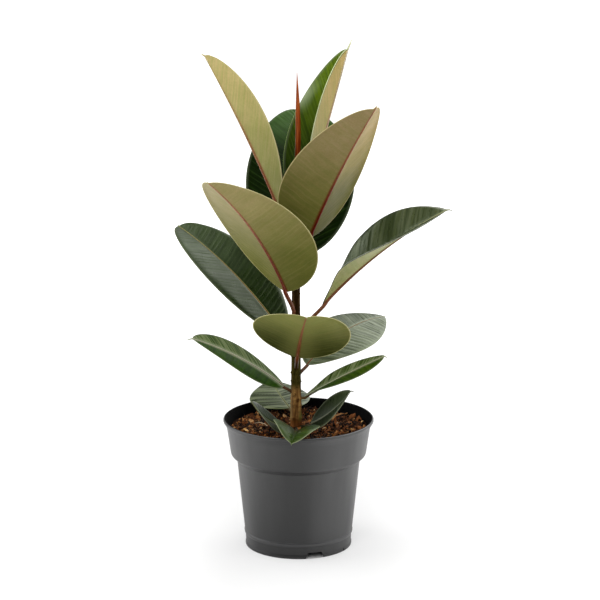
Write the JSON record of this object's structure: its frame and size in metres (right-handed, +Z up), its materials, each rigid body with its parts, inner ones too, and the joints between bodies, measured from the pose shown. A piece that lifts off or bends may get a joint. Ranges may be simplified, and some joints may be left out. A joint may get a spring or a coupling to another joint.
{
  "type": "potted rubber plant",
  "caption": "Upright rubber plant with broad leathery leaves and a red bud sheath, in a dark grey round nursery pot with a collar.",
  "frame": {"origin": "middle of the pot's base, on the surface that it stands on", "axes": "+Z up the stem, -Y towards the front of the plant, +X to the right seen from the front"},
  "size_m": [0.3068, 0.308, 0.572],
  "materials": {
    "pot_plastic": "moulded dark grey polypropylene, satin, with a faint grain",
    "bark_and_coir": "loose red-brown bark, coir and peat, matt and moist",
    "young_bark": "brown young bark with green patches and ring scars",
    "red_sheath": "smooth red-brown sheath, slightly glossy",
    "leaf_green": "glossy dark green above, matt olive below, with a red midrib and a pale margin"
  },
  "bodies": {
    "root": {"nursery_pot": "pot_plastic", "potting_soil": "bark_and_coir", "stem": "young_bark", "bud_sheath": "red_sheath", "leaf_01": "leaf_green", "leaf_02": "leaf_green", "leaf_03": "leaf_green", "leaf_04": "leaf_green", "leaf_05": "leaf_green", "leaf_06": "leaf_green", "leaf_07": "leaf_green", "leaf_08": "leaf_green", "leaf_09": "leaf_green", "leaf_10": "leaf_green", "leaf_11": "leaf_green", "leaf_12": "leaf_green", "leaf_13": "leaf_green", "leaf_14": "leaf_green", "leaf_15": "leaf_green"}
  },
  "joints": []
}
